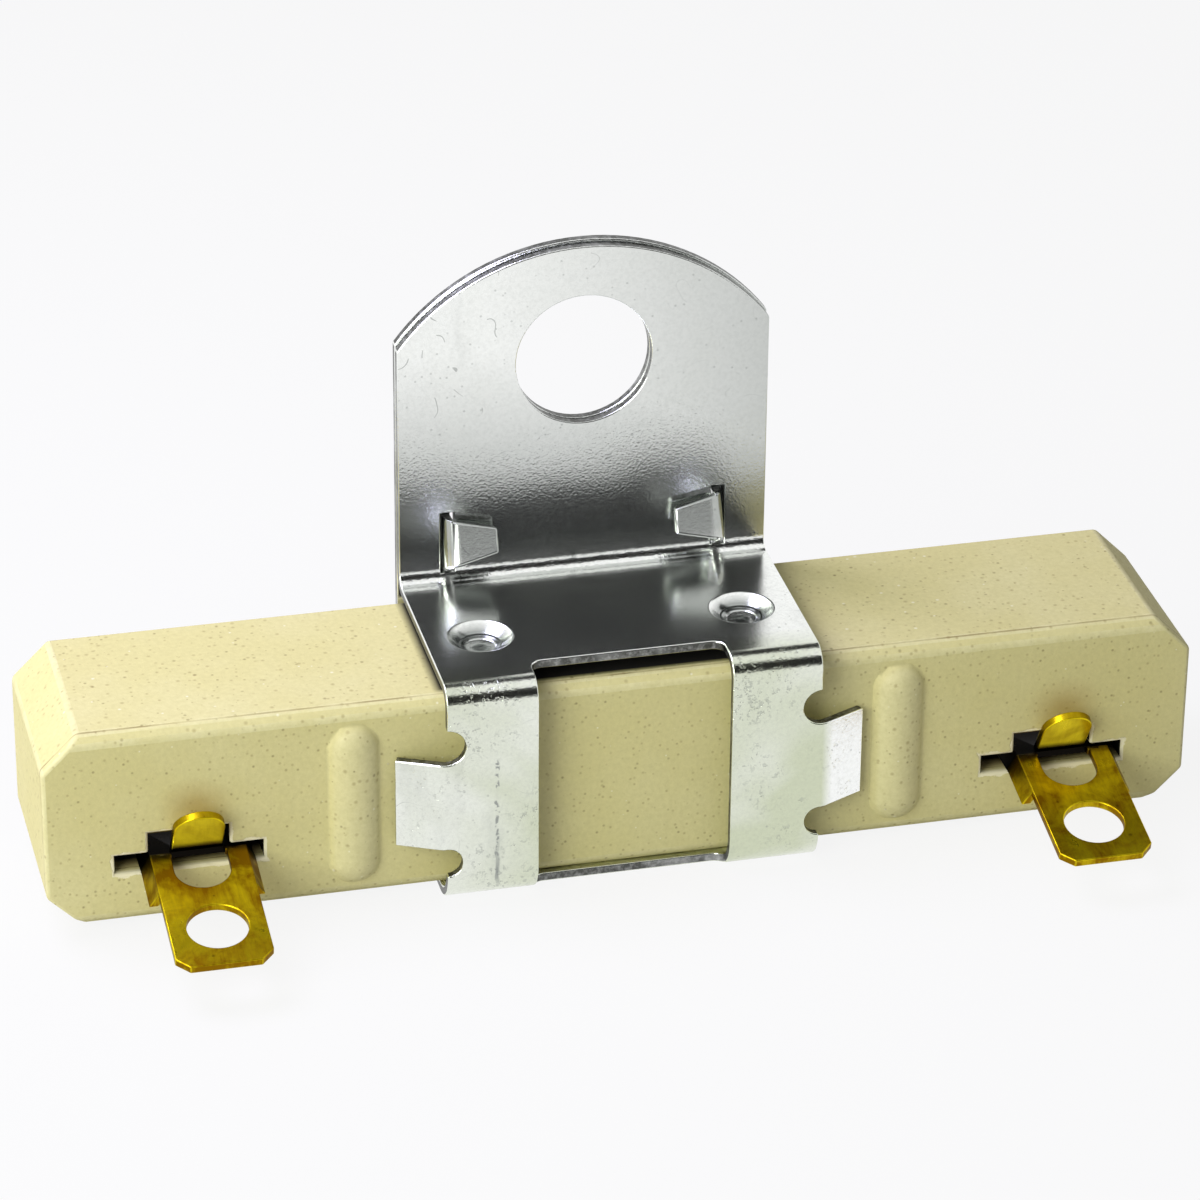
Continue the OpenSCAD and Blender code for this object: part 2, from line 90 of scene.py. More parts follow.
# The right, down and forward directions of the camera, from edges of the block and the strap.
CAMERA_RIGHT = Vector((0.97203, -0.23471, 0.00813))
CAMERA_DOWN = Vector((-0.10449, -0.46324, -0.88005))
CAMERA_AHEAD = Vector((0.2103, 0.8546, -0.4748))
# Width in millimetres of the picture that the focal length belongs to.
PICTURE_WIDTH = 36
# What the lamps face.
LAMP_TARGET = Vector((0, 0, 0.012))
# The dark parts of the room that the zinc mirrors, with the elevations in degrees where each begins and ends.
DARK_ROOM = (("canopy_front", 14, 57), ("canopy_back", 98, 128))


def length_setting(name, description, default, low, high):
    """A length in metres between two limits."""
    return bpy.props.FloatProperty(
        name=name, description=description, default=default, min=low, max=high, precision=5, unit="LENGTH")


def colour_setting(name, description, default):
    """A colour of a surface."""
    return bpy.props.FloatVectorProperty(
        name=name, description=description, default=default, size=3, min=0, max=1, subtype="COLOR")


def share_setting(name, description, default, low):
    """A share between a lower limit and 1."""
    return bpy.props.FloatProperty(
        name=name, description=description, default=default, min=low, max=1, subtype="FACTOR")


class BlockSettings(bpy.types.PropertyGroup):
    """Sizes and colours of the ceramic block"""

    edge_round: length_setting(
        "Edge round", "Width of the rounded edges of the block", 0.00032, 0.00005, 0.0008)
    body_colour: colour_setting("Body", "Main colour of the fired clay", (0.740, 0.680, 0.310))
    # The pale colour also paints the highlight on the ribs.
    pale_colour: colour_setting(
        "Pale clay", "Paler clouds in the clay, and its ribs and rubbed edges", (0.820, 0.770, 0.420))
    speck_colour: colour_setting("Specks", "Iron specks in the clay", (0.270, 0.190, 0.060))
    grit_colour: colour_setting("Grit", "Pale grains in the clay", (0.930, 0.900, 0.700))
    speck_pitch: length_setting(
        "Speck pitch", "Mean distance between cells that may hold a speck", 0.00075, 0.0003, 0.004)
    depth: length_setting("Depth", "Depth of the block from its back to its flat front", 0.0172, 0.015, 0.022)
    bevel: length_setting(
        "Bevel", "Bevel along the front edges, with the mould's parting line behind it",
        0.00085, 0.0003, 0.0012)
    slot_up: length_setting(
        "Slot floor", "Floor of the terminal slots above the block's underside", 0.0048, 0.004, 0.006)
    slot_rise: length_setting("Slot height", "Height of a slot with its keyway", 0.0037, 0.002, 0.006)
    slot_middle: length_setting(
        "Slot place", "Middle of a terminal slot, from the middle of the block", 0.03725, 0.03, 0.05)
    slot_wide: length_setting("Slot width", "Width of a terminal slot", 0.0125, 0.010, 0.015)
    slot_high: length_setting("Slot room", "Height of a slot beside its keyway", 0.0017, 0.001, 0.003)
    key_wide: length_setting("Keyway width", "Width of the keyway above a slot", 0.0068, 0.004, 0.009)
    chip_colour: colour_setting(
        "Chipped clay", "Pale fresh clay on the chipped rims of the slots", (0.930, 0.880, 0.610))
    # Painted shade: this black paints the slot walls, the inner slot floors, the brass inside the slots and
    # the gap under the strap's plate, where shade falls.
    slot_shade_colour: colour_setting("Soot", "Dirt in the slots and under the strap", (0.006, 0.005, 0.004))
    stain_colour: colour_setting(
        "Heat stain", "Brown stain of the clay above the terminals", (0.470, 0.330, 0.110))
    stain_places: bpy.props.FloatVectorProperty(
        name="Stain places", description="Places of the two stains along the block",
        default=(-0.03655, 0.03815), size=2, precision=5, unit="LENGTH")


class CoilSettings(bpy.types.PropertyGroup):
    """Sizes and colours of the resistance wire"""

    wire_diameter: length_setting("Wire", "Diameter of the resistance wire", 0.0009, 0.0004, 0.001)
    wire_sides: bpy.props.IntProperty(
        name="Sides", description="Points on a ring of the wire", default=10, min=6, max=24)
    turns: bpy.props.IntProperty(
        name="Turns", description="Turns of the coil", default=24, min=12, max=30)
    lead_length: length_setting(
        "Lead", "Straight wire at each end, from the coil to the end of its weld", 0.006, 0.003, 0.01)
    wire_colour: colour_setting("Wire colour", "Dull oxide on the resistance alloy", (0.235, 0.220, 0.205))
    heat_colour: colour_setting("Heat tint", "Brown tint where the wire was hottest", (0.200, 0.155, 0.115))


class TerminalSettings(bpy.types.PropertyGroup):
    """Sizes and colours of the brass terminals"""

    edge_round: length_setting(
        "Edge round", "Width of the rolled-over edges of the brass", 0.00009, 0.00002, 0.0002)
    strip: length_setting(
        "Strip", "Thickness of the strip, which tells its cut edges from its faces", 0.0007, 0.0005, 0.001)
    brass_colour: colour_setting("Brass", "Clean brass", (0.800, 0.640, 0.012))
    tarnish_colour: colour_setting("Tarnish", "Brown tarnish on the brass", (0.260, 0.135, 0.002))
    face_tarnish: share_setting("Faces", "Tarnish all over the faces", 0.10, 0)
    edge_tarnish: share_setting("Rolled edges", "Tarnish all along the rolled-over edges", 0.0, 0)
    cut_tarnish: share_setting("Cut edges", "Tarnish all along the cut edges", 0.48, 0)


class StrapSettings(bpy.types.PropertyGroup):
    """Sizes and colours of the zinc-plated strap"""

    edge_round: length_setting(
        "Edge round", "Width of the rounded edges of the clinch tabs", 0.00024, 0.00002, 0.0003)
    sheet_round: share_setting("Sheet edges", "Share of that width on the rest of the sheet", 0.42, 0.1)
    cell: length_setting(
        "Cell", "Width of the cells that wide faces with holes are cut into", 0.0052, 0.002, 0.02)
    zinc_colour: colour_setting("Zinc", "Bright blue-passivated zinc", (0.960, 0.975, 0.962))
    tint_colour: colour_setting(
        "Tint", "Yellowish passivation, strongest on the front straps", (0.588, 0.638, 0.450))
    # The dull colour also paints the dark reflections on the ear and in the dimples.
    dull_and_shade_colour: colour_setting(
        "Dull zinc", "Rubbed and oxidised zinc, and hairline scratches", (0.300, 0.320, 0.305))
    cut_colour: colour_setting(
        "Sheared edge", "Dark torn steel on the sheet's cut edges", (0.090, 0.092, 0.085))
    dimple_side: length_setting(
        "Dimple place", "Middle of a dimple, from the middle of the strap", 0.01125, 0.008, 0.014)
    dimple_front: length_setting(
        "Dimple depth", "Middle of a dimple, behind the front of the strap", 0.00895, 0.006, 0.014)
    plate_top: length_setting("Plate", "Top of the strap's plate above its underside", 0.02075, 0.018, 0.024)
    rear: length_setting(
        "Mounting face", "Place of the strap's flat back, which is the mounting face", 0.0099, 0.008, 0.012)
    sheet: length_setting(
        "Sheet", "Thickness of the sheet, which tells its cut edges from its faces", 0.0008, 0.0006, 0.001)
    rub_place: length_setting(
        "Rub", "Place along the block of the rubbed mark on the left strap", -0.01146, -0.016, 0.016)


class StudioSettings(bpy.types.PropertyGroup):
    """Camera, floor and light"""

    lens: bpy.props.FloatProperty(
        name="Lens", description="Focal length on a 36 mm wide picture, in millimetres",
        default=159.64, min=20, max=400)
    eye: bpy.props.FloatVectorProperty(
        name="Camera", description="Place of the camera",
        default=(-0.09446, -0.38194, 0.23388), size=3, precision=5, subtype="TRANSLATION", unit="LENGTH")
    floor_colour: colour_setting("Floor", "Colour of the plain floor", (0.62, 0.62, 0.61))
    floor_size: length_setting("Floor size", "Half width of the floor", 6.0, 0.5, 20)
    floor_gap: length_setting(
        "Floor gap", "Room between the floor and the strap's underside", 0.00004, 0, 0.001)
    floor_lift: share_setting(
        "Floor white", "Share of plain white that the camera sees in the floor", 0.88, 0)
    mirror_lift: share_setting(
        "Mirrored white", "Share of plain white that the metal mirrors in the floor", 0.96, 0)
    dark_colour: colour_setting(
        "Dark room", "Colour of the dark room that the metal mirrors", (0.030, 0.030, 0.028))
    key_level: bpy.props.FloatProperty(
        name="Key light", description="Strength of the soft lamp above and behind the left end, in watts",
        default=0.41, min=0, max=10)
    key_width: length_setting("Key width", "Width of that lamp", 0.16, 0.01, 2)
    key_place: bpy.props.FloatVectorProperty(
        name="Key place", description="Place of that lamp",
        default=(-0.12, 0.05, 0.21), size=3, subtype="TRANSLATION", unit="LENGTH")
    key_colour: bpy.props.FloatVectorProperty(
        name="Key colour", description="Colour of that lamp, bluish",
        default=(1.0, 0.960, 1.300), size=3, min=0, max=2, subtype="COLOR")
    fill_level: bpy.props.FloatProperty(
        name="Fill light", description="Strength of the soft lamp in front of the left end, in watts",
        default=1.16, min=0, max=10)
    fill_width: length_setting("Fill width", "Width of that lamp", 0.30, 0.01, 2)
    fill_place: bpy.props.FloatVectorProperty(
        name="Fill place", description="Place of that lamp",
        default=(-0.30, -0.25, 0.20), size=3, subtype="TRANSLATION", unit="LENGTH")
    fill_colour: bpy.props.FloatVectorProperty(
        name="Fill colour", description="Colour of that lamp, a little warm",
        default=(1.0, 1.020, 0.950), size=3, min=0, max=2, subtype="COLOR")
    sky_level: bpy.props.FloatProperty(
        name="Sky light", description="Strength of the even light from all round", default=0.26, min=0, max=2)


class ResistorSettings(bpy.types.PropertyGroup):
    """All that can be set on the resistor"""

    block: bpy.props.PointerProperty(type=BlockSettings, name="Block", description="Ceramic block")
    coil: bpy.props.PointerProperty(type=CoilSettings, name="Coil", description="Resistance coil")
    terminals: bpy.props.PointerProperty(
        type=TerminalSettings, name="Terminals", description="Brass terminals")
    strap: bpy.props.PointerProperty(type=StrapSettings, name="Strap", description="Zinc-plated strap")
    studio: bpy.props.PointerProperty(
        type=StudioSettings, name="Studio", description="Camera, floor and light")


def settings():
    """The property groups of the scene."""
    return bpy.context.scene.resistor


def block_front():
    """Place of the block's flat front along Y."""
    return BLOCK_HIGH[1] - settings().block.depth


def slot_floor():
    """Height of the floor of the terminal slots."""
    return BLOCK_LOW[2] + settings().block.slot_up


def shade(colour, share):
    """A colour times a share."""
    return [share * c for c in colour]


class Nodes:
    """Short way to lay out the nodes of a material or of the world."""

    def __init__(self, owner):
        owner.use_nodes = True
        self.owner = owner
        self.tree = owner.node_tree
        self.shader = next(n for n in self.tree.nodes if n.type in ("BSDF_PRINCIPLED", "BACKGROUND"))
        self.place = self.add("ShaderNodeTexCoord").outputs["Object"]
        self.x, self.y, self.z = self.add("ShaderNodeSeparateXYZ", {"Vector": self.place}).outputs

    def add(self, kind, inputs=None, **values):
        """A node with some of its settings, and with inputs that are values or other nodes' outputs."""
        node = self.tree.nodes.new(kind)
        for key, value in values.items():
            setattr(node, key, value)
        for key, value in (inputs or {}).items():
            self.put(node.inputs[key], value)
        return node

    def put(self, socket, value):
        """Links an output to a socket, or sets the socket's own value."""
        if isinstance(value, bpy.types.NodeSocket):
            self.tree.links.new(value, socket)
        else:
            socket.default_value = value

    def moved(self, scale=(1, 1, 1), shift=(0, 0, 0)):
        """Object coordinates, stretched and shifted."""
        node = self.add("ShaderNodeMapping", {"Vector": self.place, "Scale": scale, "Location": shift})
        return node.outputs["Vector"]

    def noise(self, size, detail=2.0, rough=0.5, vector=None, warp=0.0):
        """Noise whose features are about size metres wide, from 0 to 1."""
        node = self.add("ShaderNodeTexNoise", {
            "Vector": self.place if vector is None else vector, "Scale": 1 / size, "Detail": detail,
            "Roughness": rough, "Distortion": warp})
        return node.outputs["Fac"]

    def span(self, value, low, high, to_low=0.0, to_high=1.0):
        """Value from low..high carried to to_low..to_high, and held at the ends."""
        node = self.add("ShaderNodeMapRange", {
            "Value": value, "From Min": low, "From Max": high, "To Min": to_low, "To Max": to_high})
        node.clamp = True
        return node.outputs["Result"]

    def fade(self, value, low, high, start=1.0):
        """The start value up to low, falling to 0 at high."""
        return self.span(value, low, high, start, 0.0)

    def within(self, value, low, high, soft):
        """1 where the value lies between low and high, fading to 0 over soft outside them."""
        return self.times(self.span(value, low - soft, low), self.fade(value, high, high + soft))

    def math(self, kind, *values):
        """Values joined one after another by Math nodes of that kind, or one value through one node."""
        total = values[0]
        for value in values[1:] or (0.0,):
            total = self.add("ShaderNodeMath", {0: total, 1: value}, operation=kind).outputs[0]
        return total

    def times(self, *values):
        """Product of the values."""
        return self.math("MULTIPLY", *values)

    def plus(self, *values):
        """Sum of the values."""
        return self.math("ADD", *values)

    def minus(self, a, b):
        """The first value less the second."""
        return self.math("SUBTRACT", a, b)

    def most(self, *values):
        """Largest of the values."""
        return self.math("MAXIMUM", *values)

    def away(self, value, middle=0.0):
        """How far the value is from a middle, on either side."""
        return self.math("ABSOLUTE", self.minus(value, middle))

    def far(self, a, b):
        """Distance from two lengths that are square to each other."""
        return self.math("SQRT", self.plus(self.times(a, a), self.times(b, b)))

    def mix(self, share, a, b):
        """Colour a with that share of colour b."""
        node = self.add("ShaderNodeMix", data_type="RGBA")
        node.clamp_factor = True
        self.put(node.inputs[0], share)
        for key, value in ((6, a), (7, b)):
            self.put(node.inputs[key], value if isinstance(value, bpy.types.NodeSocket) else (*value, 1))
        return node.outputs[2]

    def specks(self, pitch, radius, share, seed, soft=0.35):
        """Round specks: the middle of some cells of a cell pattern, 1 inside a speck and soft at its rim."""
        vector = self.moved(shift=(seed, seed * 0.7, seed * 1.3))
        cells = self.add("ShaderNodeTexVoronoi", {"Vector": vector, "Scale": 1 / pitch, "Randomness": 1.0})
        pick = self.add("ShaderNodeSeparateColor", {"Color": cells.outputs["Color"]})
        size = self.span(pick.outputs[1], 0, 1, 0.5 * radius / pitch, 1.4 * radius / pitch)
        far = self.math("DIVIDE", cells.outputs["Distance"], size)
        near = self.fade(far, 1 - soft, 1 + soft)
        return self.times(near, self.math("LESS_THAN", pick.outputs[0], share))

    def hairs(self, size, width, share, seed):
        """Curling hairlines: where a smooth noise crosses its middle, kept in some patches only."""
        field = self.noise(size, 1.0, 0.5, self.moved(shift=(seed, seed * 1.9, -seed)))
        line = self.math("LESS_THAN", self.away(field, 0.5), width)
        patch = self.noise(size * 0.45, 0.0, 0.5, self.moved(shift=(-seed, seed * 0.4, seed * 2.2)))
        return self.times(line, self.math("GREATER_THAN", patch, 1 - share))

    def bump(self, height, distance, strength=1.0, normal=None):
        """Bumps from a height of 0 to 1 that is distance metres at 1, on top of an earlier normal."""
        inputs = {"Height": height, "Distance": distance, "Strength": strength}
        if normal is not None:
            inputs["Normal"] = normal
        return self.add("ShaderNodeBump", inputs).outputs["Normal"]

    def finish(self, colour=None, roughness=None, normal=None, **constants):
        """Links what varies to the shader and sets what is the same all over on its own sockets."""
        for key, value in (("Base Color", colour), ("Roughness", roughness), ("Normal", normal)):
            if value is not None:
                self.put(self.shader.inputs[key], value)
        for key, value in constants.items():
            self.shader.inputs[key.replace("_", " ")].default_value = value
        return self.owner


def material_nodes(name):
    """The nodes of a new material."""
    return Nodes(bpy.data.materials.new(name))


def clay_colour(n, s, clouds, grain, rubbed):
    """Beige clay with paler clouds, a painted highlight on the ribs, fine darker grain, and pale, tan and dark
    specks.
    """
    front = block_front()
    pale = n.span(clouds, 0.38, 0.68, 0.0, 0.50)
    if rubbed:
        pale = n.most(pale, n.span(n.noise(0.0022, 3.0, 0.6), 0.30, 0.62, 0.35, 1.0))
    # Painted highlight: the ribs that stand out in front of the face are made paler, as if lit more.
    rib_highlight = n.fade(n.y, front - 0.0006, front - 0.0002, 0.75)
    colour = n.mix(n.most(pale, rib_highlight), s.body_colour, s.pale_colour)
    colour = n.mix(n.span(grain, 0.25, 0.75, 0.0, 0.5), colour, shade(s.body_colour, 0.80))
    tan = [0.6 * a + 0.4 * b for a, b in zip(s.speck_colour, s.body_colour)]
    # For each kind: pitch against the common one, radius, share of cells, seed, softness, strength, colour.
    for pitch, radius, share, seed, soft, strength, tone in (
            (1.5, 0.00010, 0.45, 3.1, 0.35, 0.65, s.grit_colour),
            (0.9, 0.00011, 0.75, 7.7, 0.60, 0.70, tan),
            (1.2, 0.00010, 0.52, 1.3, 0.55, 0.58, shade(s.speck_colour, 0.8))):
        spots = n.specks(s.speck_pitch * pitch, radius, share, seed, soft)
        colour = n.mix(n.times(spots, strength), colour, tone)
    return colour


def parting_line(n, s):
    """Share of the thin broken line that the mould left behind the front bevel."""
    edge = block_front() + s.bevel
    line = n.within(n.y, edge + 0.00007, edge + 0.00015, 0.00006)
    return n.times(line, n.span(n.noise(0.004, 2.0), 0.36, 0.60, 0.35, 1.0))


def heat_stain(n, s, clouds):
    """Share of the two brown stains: cloudy ovals on the front, above the terminals."""
    half_width, half_height, above_slot = 0.0030, 0.0024, 0.0058
    front = block_front()
    above = n.math("DIVIDE", n.minus(n.z, slot_floor() + above_slot), half_height)
    spots = []
    for middle in s.stain_places:
        aside = n.math("DIVIDE", n.minus(n.x, middle), half_width)
        spots.append(n.fade(n.plus(n.far(aside, above), n.times(clouds, 0.5)), 0.35, 1.35, 0.55))
    return n.times(n.most(*spots), n.fade(n.y, front + 0.0002, front + 0.0006))


def slot_chips(n, s):
    """Share of fresh clay round the slots: within a ragged distance of the outline of slot and keyway."""
    aside = n.away(n.away(n.x), s.slot_middle)
    outside = []
    for wide, high in ((s.slot_wide, s.slot_high), (s.key_wide, s.slot_rise - 0.00015)):
        above = n.away(n.z, slot_floor() + high / 2)
        outside.append(n.most(n.minus(aside, wide / 2), n.minus(above, high / 2)))
    torn = n.span(n.noise(0.0014, 4.0, 0.65), 0.36, 0.70, 0.00002, 0.00050)
    return n.fade(n.minus(n.math("MINIMUM", *outside), torn), -0.00003, 0.00006)


def ceramic_finish(name, rubbed):
    """Speckled fired clay with a parting line, heat stains, chipped slot rims, pin holes, painted shade deeper
    in the slots and a painted shadow under the strap's plate.
    """
    s = settings().block
    n = material_nodes(name)
    front, slot = block_front(), slot_floor()
    clouds = n.noise(0.011, 3.0, 0.55)
    grain = n.noise(0.00045, 3.0, 0.65)
    colour = clay_colour(n, s, clouds, grain, rubbed)
    seam = parting_line(n, s)
    colour = n.mix(n.times(seam, 0.70), colour, s.speck_colour)
    colour = n.mix(heat_stain(n, s, clouds), colour, s.stain_colour)
    face = n.fade(n.y, front + 0.0003, front + 0.0006, 0.9)
    chip = n.times(slot_chips(n, s), face)
    colour = n.mix(chip, colour, s.chip_colour)
    inner = n.within(n.x, BLOCK_LOW[0] + 0.004, BLOCK_HIGH[0] - 0.004, 0.0005)
    if rubbed:
        mouth = n.within(n.z, slot - 0.0004, slot + s.slot_rise + 0.0004, 0.0002)
        colour = n.mix(n.times(mouth, face, inner), colour, s.chip_colour)
    # Painted shade: the slot floors turn brown and then black deeper into the slots.
    slot_depth_shade = n.times(n.span(n.y, front + 0.0003, front + 0.0024), n.fade(n.y, front + 0.0042, front + 0.0046))
    floor = n.times(slot_depth_shade, n.within(n.z, slot, slot + s.slot_rise, 0.0002), inner)
    colour = n.mix(floor, colour, s.stain_colour)
    # Painted shadow on the block's top under the strap's plate.
    under = n.times(
        n.within(n.x, STRAP_LOW[0] + 0.0045, STRAP_HIGH[0] - 0.0045, 0.0008),
        n.within(n.y, front + 0.0016, BLOCK_HIGH[1], 0.0006),
        n.within(n.z, BLOCK_HIGH[2] - 0.0001, BLOCK_HIGH[2] + 0.001, 0.0001))
    recess_shade = n.most(n.times(floor, floor), under)
    colour = n.mix(recess_shade, colour, s.slot_shade_colour)
    rough = n.most(n.span(grain, 0.2, 0.8, 0.62, 0.86), recess_shade)
    holes = n.specks(s.speck_pitch * 1.9, 0.00013, 0.35, 5.9)
    height = n.plus(n.minus(grain, holes), n.times(n.noise(0.003, 2.0), 1.5))
    height = n.minus(height, n.times(n.plus(seam, chip), 2.0))
    normal = n.bump(height, 0.000022, 0.9)
    return n.finish(colour, rough, normal, Metallic=0.0, IOR=1.48, Specular_IOR_Level=0.35)


def slot_wall_shade_finish():
    """Painted shade on the walls of the slots: black, with dust in places."""
    s = settings().block
    n = material_nodes("shaded_slot_clay")
    dust = n.noise(0.0011, 4.0, 0.6)
    colour = n.mix(n.span(dust, 0.52, 0.80, 0.0, 0.06), s.slot_shade_colour, s.body_colour)
    rough = n.span(dust, 0.3, 0.7, 0.85, 1.0)
    normal = n.bump(n.noise(0.00045, 3.0, 0.65), 0.000022, 0.9)
    return n.finish(colour, rough, normal, Metallic=0.0, Specular_IOR_Level=0.02)


def zinc_tint(n, clouds):
    """Share of the yellowish tint: cloudy, most on the front straps, and none at the right edge, which paints
    a highlight there.
    """
    front, right = STRAP_LOW[1], STRAP_HIGH[0]
    straps = n.span(n.y, front + 0.0012, front + 0.0045, 0.90, 0.10)
    # Painted highlight: the untinted right edge stands for the bright reflection on the right wing.
    clear_of_right_highlight = n.fade(n.x, right - 0.0040, right - 0.0030)
    return n.times(straps, clear_of_right_highlight, n.span(clouds, 0.32, 0.60, 0.35, 1.0))


def zinc_wear_and_shade(n, s):
    """Share of dull zinc: smears, painted dark reflection on the right of the ear and low on the ear, and the
    handled back.
    """
    top = s.plate_top
    back = n.span(n.y, s.rear - 0.0003, s.rear - 0.0001)
    ahead = n.minus(1.0, back)
    smear = n.noise(0.0075, 3.0, 0.6, n.moved(scale=(1.6, 1.0, 0.45), shift=(0.4, 0.1, 0.2)))
    # Painted dark reflection: duller on the right of the ear and on its lower part.
    ear_right_shade = n.times(n.span(n.x, -0.008, 0.016), n.span(n.z, top + 0.00125, top + 0.00725), ahead)
    ear_foot_shade = n.times(
        n.span(n.z, top + 0.00025, top + 0.00325), n.fade(n.z, top + 0.00625, top + 0.02125), ahead)
    handled = n.noise(0.012, 4.0, 0.62, n.moved(scale=(1.0, 1.0, 0.6), shift=(0.03, 0.0, 0.07)), 0.8)
    return n.most(
        n.span(smear, 0.60, 0.82, 0.0, 0.30), n.times(ear_right_shade, 0.56), n.times(ear_foot_shade, 0.75),
        n.times(back, n.span(handled, 0.34, 0.70, 0.18, 0.62)))


def dimple_marks(n, s):
    """Share of painted dark reflection in the dimples, with a brighter ring, and their height of a stepped
    ring round a crumpled floor.
    """
    top = s.plate_top
    far = n.far(n.minus(n.away(n.x), s.dimple_side), n.minus(n.y, STRAP_LOW[1] + s.dimple_front))
    dish = n.times(n.span(n.z, top - 0.0022, top - 0.0020), n.fade(n.z, top, top + 0.0005))
    # Painted reflection: the dimples are painted dull and dark, with a brighter ring inside.
    dimple_shade = n.minus(n.fade(far, 0.0020, 0.0026, 0.85), n.within(far, 0.0008, 0.0011, 0.0003))
    step = n.within(far, 0.00140, 0.00165, 0.00015)
    crumple = n.times(n.noise(0.0008, 1.0, 0.5), n.fade(far, 0.0010, 0.0014))
    return n.times(dimple_shade, dish), n.times(n.plus(n.times(step, 0.6), crumple), dish)


def zinc_marks(n, s):
    """Share of the fine marks (hairlines, pits, a dotted rub and crust), and the share of crust alone."""
    flat_front = n.fade(n.y, STRAP_LOW[1] + 0.001, STRAP_LOW[1] + 0.002)
    left = n.minus(n.span(n.x, -0.006, 0.004, 1.0, 0.25), n.times(flat_front, 0.75))
    hair = n.times(n.hairs(0.0050, 0.0030, 0.42, 4.3), left)
    pits = n.specks(0.0007, 0.00009, 0.40, 6.3)
    across = n.plus(n.x, n.times(n.noise(0.0016, 2.0), 0.0007))
    line = n.within(across, s.rub_place - 0.0001, s.rub_place + 0.0001, 0.00012)
    dots = n.span(n.noise(0.00045, 2.0, 0.6), 0.50, 0.56, 0.05, 1.0)
    dots = n.most(dots, n.fade(n.z, 0.0034, 0.0070, 0.9))
    rub = n.times(line, n.within(n.z, 0.0028, 0.0135, 0.0015), dots, flat_front)
    patch = n.noise(0.0050, 2.0, 0.6, n.moved(shift=(0.11, 0.0, 0.05)))
    crust = n.times(n.span(n.noise(0.00042, 2.0, 0.7), 0.57, 0.63), n.span(patch, 0.47, 0.62), flat_front)
    return n.most(n.times(hair, 0.60), n.times(pits, 0.40), n.times(rub, 0.9), n.times(crust, 0.42)), crust


def rolled_grain(n, s):
    """Height of the rolled grain: full on the ear and in its bend, less on the straps, slight elsewhere."""
    top, ear_root = s.plate_top, s.rear - 2.2 * s.sheet
    rolled = n.noise(0.00021, 1.0, 0.5, n.moved(scale=(0.85, 1.0, 1.0)))
    ear = n.times(
        n.span(n.y, s.rear - 2.4 * s.sheet, s.rear - 2.25 * s.sheet), n.span(n.z, top + 0.001, top + 0.011))
    front = n.fade(n.y, STRAP_LOW[1] + 0.0008, STRAP_LOW[1] + 0.0020, 0.75)
    root = n.times(
        n.within(n.y, ear_root - 0.0014, ear_root, 0.0004), n.within(n.z, top - 0.0002, top + 0.0014, 0.0004))
    return n.times(rolled, n.span(n.most(ear, front, root), 0.0, 1.0, 0.12, 1.0))


def zinc_finish(name, rubbed):
    """Bright zinc with a yellowish tint, dull wear, fine marks, soft waves and rolled grain."""
    s = settings().strap
    n = material_nodes(name)
    clouds = n.noise(0.017, 3.0, 0.55, warp=0.6)
    mottle = n.noise(0.00035, 3.0, 0.7)
    dimple_shade, stamped = dimple_marks(n, s)
    marks, crust = zinc_marks(n, s)
    colour = n.mix(zinc_tint(n, clouds), s.zinc_colour, s.tint_colour)
    # Dull wear, and painted dark reflections on the ear and in the dimples.
    colour = n.mix(n.most(zinc_wear_and_shade(n, s), dimple_shade), colour, s.dull_and_shade_colour)
    colour = n.mix(n.span(mottle, 0.42, 0.72, 0.0, 0.12), colour, s.dull_and_shade_colour)
    if not rubbed:
        colour = n.mix(marks, colour, s.dull_and_shade_colour)
    rough = n.plus(n.span(mottle, 0.3, 0.8, 0.16, 0.22), n.span(clouds, 0.3, 0.7, 0.0, 0.03))
    normal = n.bump(n.noise(0.009, 1.0, 0.4), 0.00009, 0.55)
    normal = n.bump(stamped, 0.00010, 1.0, normal)
    normal = n.bump(n.minus(rolled_grain(n, s), crust), 0.000026, 0.8, normal)
    return n.finish(colour, rough, normal, Metallic=1.0)


def sheared_finish():
    """Cut edge of the sheet: dark torn steel with fine streaks, and zinc in places."""
    s = settings().strap
    n = material_nodes("sheared_steel")
    streaks = n.noise(0.00045, 3.0, 0.65)
    patches = n.noise(0.0035, 2.0, 0.5)
    share = n.plus(n.span(streaks, 0.45, 0.70, 0.0, 0.25), n.span(patches, 0.52, 0.72, 0.0, 0.25))
    colour = n.mix(share, s.cut_colour, s.zinc_colour)
    rough = n.span(streaks, 0.3, 0.7, 0.32, 0.50)
    return n.finish(colour, rough, n.bump(streaks, 0.000010, 0.8), Metallic=1.0)


